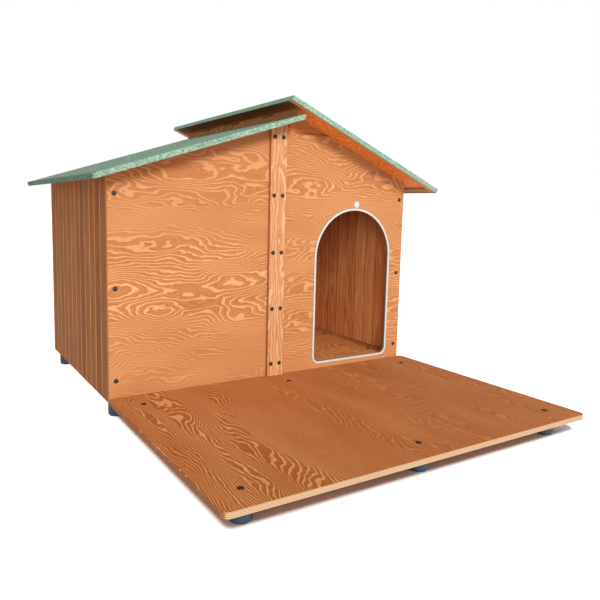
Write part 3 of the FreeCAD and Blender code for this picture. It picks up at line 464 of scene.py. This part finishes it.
def domed(radius, height, shank, length):
    """Outline of a bolt with a domed head, from the shank's end to the crown."""
    return [(0.0, -length), (shank - 0.6, -length), (shank, 0.6 - length), (shank, 0.0), (radius - 0.3, 0.0),
            (radius, 0.35), (radius * 0.985, height * 0.3), (radius * 0.9, height * 0.58),
            (radius * 0.72, height * 0.82), (radius * 0.42, height * 0.96), (0.0, height)]


big_head, big_height, big_shank = 10.0, 4.0, 4.0
small_head, small_height, small_shank = 9.0, 4.5, 3.0
for name, rows in (("deck_bolts", 2), ("floor_bolts", 3)):
    low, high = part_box(name)
    stack = (high.z - low.z) * 1000.0 - big_height
    spots = [spot + Vector((0, 0, stack / 1000.0)) for spot in grid(name, big_head, 3, rows)]
    turned(name + "_domed", "kennel", name, black_steel,
           domed(big_head, big_height, big_shank, stack), spots)
for face, outward in (("front", -1.0), ("back", 1.0)):
    for kind, rows in (("edge", 3), ("strip", 5)):
        name = "%s_%s_bolts" % (face, kind)
        low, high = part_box(name)
        reach = small_head / 1000.0
        skin = (low.y if outward < 0 else high.y) - outward * small_height / 1000.0
        spots = [Vector((x, skin, low.z + reach + (high.z - low.z - 2 * reach) * row / (rows - 1)))
                 for x in (low.x + reach, high.x - reach) for row in range(rows)]
        turned(name + "_domed", "kennel", name, black_steel,
               domed(small_head, small_height, small_shank, (high.y - low.y) * 1000.0 - small_height), spots,
               Matrix.Rotation(radians(-90.0 * outward), 4, "X"))
for name in ("deck_nuts", "floor_nuts", "kennel_foot_screws", "front_edge_nuts", "front_strip_nuts", "back_edge_nuts",
             "back_strip_nuts"):
    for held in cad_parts[name].material_slots:
        held.material = zinc


# Doorway: a white plastic angle glued round the panel's front edge, and a plain round white cap above it. The plastic
# is smooth, with soft edges and a faint cloudiness.

white, place, _ = new_finish("white_plastic", 0.38, Specular_IOR_Level=0.5)
cloud = place.noise((30.0, 30.0, 30.0), detail=2.0)
coat(white, Base_Color=cloud.tint(srgb("DDE6E3", 0.48), srgb("EAF2EF", 0.48)), Roughness=cloud * 0.2 + 0.28)
softened("door_edge_trim", "kennel", white, 0.7, 3)
softened("door_disc", "kennel", white, 0.4, 2)


# Ridge timber: a beam, the upright ridge board and the rail that the hinges sit on, in dark brown stain. The battens
# and boards inside the gables carry the leaves. Three brown-lacquered butt hinges are let in.

low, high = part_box("ridge_board")
ridge_tones = shades(1.0, (0.0, "6E3E20"), (0.5, "96603A"), (1.0, "B27C54"))
ridge_stain = peeled_plywood("ridge_stain", "Y", "Z", low.x, wall_ply, ridge_tones, stained_edges, 14.0,
                             [(1.1, 60.0, 0.6), (1.22, 60.0, 0.6)])
softened("ridge_board", "kennel", ridge_stain, 0.8)
ridge_wood = planed_softwood("ridge_wood", "Y", "6E3E20", "A8714A", 15.0)
slope_wood = planed_softwood("slope_wood", "X", "8A4822", "C07A44", 16.0)
softened("ridge_beam", "kennel", ridge_wood, 1.2)
softened("ridge_rail", "kennel", ridge_wood, 0.8)
for face in ("front", "back"):
    softened(face + "_gable_batten", "kennel", slope_wood, 1.2)
    softened(face + "_leaf_rest", "kennel", slope_wood, 1.0)
brown_steel, place, _ = new_finish("brown_steel", 0.45, Specular_IOR_Level=0.2)
worn = place.noise((3.0, 3.0, 3.0), detail=3.0)
coat(brown_steel, Base_Color=worn.tint(srgb("6E4226"), srgb("8A5838")), Roughness=worn * 0.3 + 0.35)
for name in ("fixed_hinge_plates", "moving_hinge_plates", "hinge_pins", "fixed_hinge_screws", "moving_hinge_screws"):
    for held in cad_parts[name].material_slots:
        held.material = brown_steel


# Roof leaves: plywood sheets, and mineral-faced felt wrapped over their top and edges. Green slate grains lie pressed
# in bitumen, a little uneven in tone. The opening leaf has strips under its edges and two battens inside.

# The leaves' plywood is stained brighter than the gables': painted light on the undersides.
painted_light_leaf_tones = shades(1.0, (0.0, "BC5C1E"), (0.4, "DA7A34"), (0.8, "EA904A"), (1.0, "F4A862"))
leaf_bands = [(-0.85, 70.0, 0.5), (-0.5, 30.0, 0.8), (-0.2, 80.0, 0.5), (0.2, 40.0, 0.7), (0.6, 80.0, 0.5),
              (0.85, 60.0, 0.5)]
for hand, body, seed in (("left", "kennel", 22.0), ("right", "right_roof_leaf", 27.0)):
    leaf_stain = peeled_plywood(hand + "_leaf_stain", "Y", "X", 0.0, wall_ply, painted_light_leaf_tones, stained_edges, seed,
                                leaf_bands)
    softened(hand + "_roof_panel", body, leaf_stain, 0.5, 1)

# The opening leaf's stain, which the loop made last, gets painted shade towards the ridge, under its lap.
shader = leaf_stain.node_tree.nodes["Principled BSDF"]
wood = Value(shader.inputs["Base Color"].links[0].from_socket)
place = Value(leaf_stain.node_tree.nodes["Texture Coordinate"].outputs["Object"])
clear_of_ridge, near_ridge, ridge_shade_share = 0.075, 0.035, 0.85
painted_ridge_shade = place.axis("X").between(clear_of_ridge, near_ridge) * ridge_shade_share
coat(leaf_stain, Base_Color=painted_ridge_shade.tint(wood, srgb("4E2C16")))

strip_across = planed_softwood("strip_across", "X", "B4713E", "DE9C66", 33.0)
strip_lengthwise = planed_softwood("strip_lengthwise", "Y", "8E5B38", "B0805A", 34.0)
for face in ("front", "back"):
    softened(face + "_leaf_batten", "right_roof_leaf", slope_wood, 1.2)
    softened(face + "_edge_strip", "right_roof_leaf", strip_across, 0.8)
softened("eave_edge_strip", "right_roof_leaf", strip_lengthwise, 0.8)
# The strip along the ridge edge is a darker copy of the strips' wood: painted shade under the lap.
strip_in_painted_shade = planed_softwood("strip_in_painted_shade", "Y", "4A2A14", "683E1E", 35.0)
softened("ridge_edge_strip", "right_roof_leaf", strip_in_painted_shade, 0.8)

# Felt: slate grains over coarser patches, bare where the grains are thin, with painted shade in patches on both eave
# faces.
felt, place, _ = new_finish("slate_felt", 0.9, Specular_IOR_Level=0.15)
grains_per_metre = 420.0
grain = place.node("ShaderNodeTexVoronoi", {}, {"Vector": place, "Scale": grains_per_metre}, "Color").axis("X")
coarse = place.noise((5.0, 5.0, 5.0), detail=3.0, rough=0.65)
clumps = place.noise((16.0, 16.0, 16.0), detail=2.0)
drift = place.noise((160.0, 160.0, 160.0), detail=3.0)
grain_share, coarse_share, clump_share, drift_share, darker = 0.5, 1.6, 0.5, 0.3, 0.95
tone = grain * grain_share + coarse * coarse_share + clumps * clump_share + drift * drift_share - darker
bare = coarse.between(0.40, 0.32)
low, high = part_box("left_roof_felt")[0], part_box("right_roof_felt")[1]
half_width = 0.5 * (high.x - low.x)
across = place.axis("X") - 0.5 * (low.x + high.x)
# Both eave faces get painted shade, in patches and a little all along.
edge = across.math("ABSOLUTE", across).between(half_width - 0.016, half_width - 0.010)
eave_shade_in_patches, eave_shade_all_along = 0.5, 0.3
painted_eave_shade = edge * (coarse.between(0.60, 0.42) * eave_shade_in_patches + eave_shade_all_along)
green = tone.stain(shades(0.56, (0.0, "5E7C67"), (0.35, "82A38B"), (0.7, "A6C3AC"), (1.0, "D2E6D6")))
bare_share = 0.6
coat(felt, Base_Color=painted_eave_shade.tint((bare * bare_share).tint(green, srgb("3F5847", 0.7)), srgb("20301F")),
     Normal=relief(grain * 0.4 + coarse * 0.6, strength=0.6, distance=0.0015))
softened("left_roof_felt", "kennel", felt, 2.2, 3)
softened("right_roof_felt", "right_roof_leaf", felt, 2.2, 3)


# Studio: a pale seamless floor, an even white surround and four broad lights. The first reaches only the floor, where
# only the pieces near the ground shade it. The other three light the kennel and leave the floor out.

floor_mesh = bpy.data.meshes.new("studio_floor")
work = bmesh.new()
bmesh.ops.create_grid(work, x_segments=1, y_segments=1, size=60.0)
work.to_mesh(floor_mesh)
work.free()
floor = bpy.data.objects.new("studio_floor", floor_mesh)
bpy.context.scene.collection.objects.link(floor)
paper, place, _ = new_finish("studio_paper", 0.95, Specular_IOR_Level=0.0)
cloud = place.noise((900.0, 900.0, 900.0), detail=1.0)
coat(paper, Base_Color=cloud.tint(srgb("F8F8F8"), srgb("FBFBFB")))
floor_mesh.materials.append(paper)


def soft_sun(name, azimuth, height, strength, spread, colour):
    """A broad even light from a compass angle, counted from the front towards the right, and a height."""
    light = bpy.data.lights.new(name, "SUN")
    light.energy = strength
    light.angle = radians(spread)
    light.color = colour
    lamp = bpy.data.objects.new(name, light)
    bpy.context.scene.collection.objects.link(lamp)
    lamp.matrix_world = (Matrix.Rotation(radians(azimuth), 4, "Z") @ Matrix.Rotation(radians(90.0 - height), 4, "X"))
    reached = bpy.data.collections.new(name + "_reaches")
    reached.objects.link(floor)
    reached.collection_objects[0].light_linking.link_state = "INCLUDE" if name == "floor_light" else "EXCLUDE"
    lamp.light_linking.receiver_collection = reached
    return lamp


white_light, warm_light = (1.0, 1.0, 1.0), (1.0, 0.99, 0.97)
floor_lamp = soft_sun("floor_light", -36.0, 41.0, 4.4, 9.0, white_light)
hindering = bpy.data.collections.new("near_the_floor")
for name in ("deck_panel_eased", "deck_feet_rubber", "kennel_feet_rubber", "kennel_floor_eased",
             "middle_floor_bearer_eased"):
    hindering.objects.link(bpy.data.objects[name])
floor_lamp.light_linking.blocker_collection = hindering
soft_sun("high_light", 0.0, 48.0, 1.0, 60.0, warm_light)
soft_sun("front_light", -4.0, 20.0, 3.15, 14.0, warm_light)
soft_sun("side_light", -34.0, 12.0, 1.2, 30.0, warm_light)

# What falls on the kennel from all round is half as bright as the white that the camera sees behind it.
surround = bpy.data.worlds.new("pale_surround")
surround.use_nodes = True
nodes = surround.node_tree.nodes
soft_sky = nodes["Background"]
soft_sky.inputs["Strength"].default_value = 0.5
soft_sky.inputs["Color"].default_value = (1.0, 1.0, 1.0, 1.0)
backdrop = nodes.new("ShaderNodeBackground")
backdrop.inputs["Color"].default_value = (1.0, 1.0, 1.0, 1.0)
seen = nodes.new("ShaderNodeLightPath")
choice = nodes.new("ShaderNodeMixShader")
for start, end in ((seen.outputs["Is Camera Ray"], choice.inputs[0]), (soft_sky.outputs[0], choice.inputs[1]),
                   (backdrop.outputs[0], choice.inputs[2]), (choice.outputs[0], nodes["World Output"].inputs[0])):
    surround.node_tree.links.new(start, end)
bpy.context.scene.world = surround
bpy.context.scene.view_settings.view_transform = "Standard"


# Camera: to the left in front of the deck, 0.82 m above the ground and looking slightly down. Its place, angles and
# lens come from a fit to edges measured on the photograph.

eye = bpy.data.cameras.new("camera")
eye.sensor_width = 36.0
eye.lens = 35.669
eye.shift_x = 0.075
eye.shift_y = -0.04167
eye.clip_end = 200.0
camera = bpy.data.objects.new("camera", eye)
bpy.context.scene.collection.objects.link(camera)
yaw, pitch, roll = -0.528364, -0.117686, 0.016268
camera.matrix_world = (Matrix.Translation((-1.35010, -2.21499, 0.82040)) @ Matrix.Rotation(yaw, 4, "Z")
                       @ Matrix.Rotation(radians(90.0) + pitch, 4, "X") @ Matrix.Rotation(roll, 4, "Z"))
bpy.context.scene.camera = camera
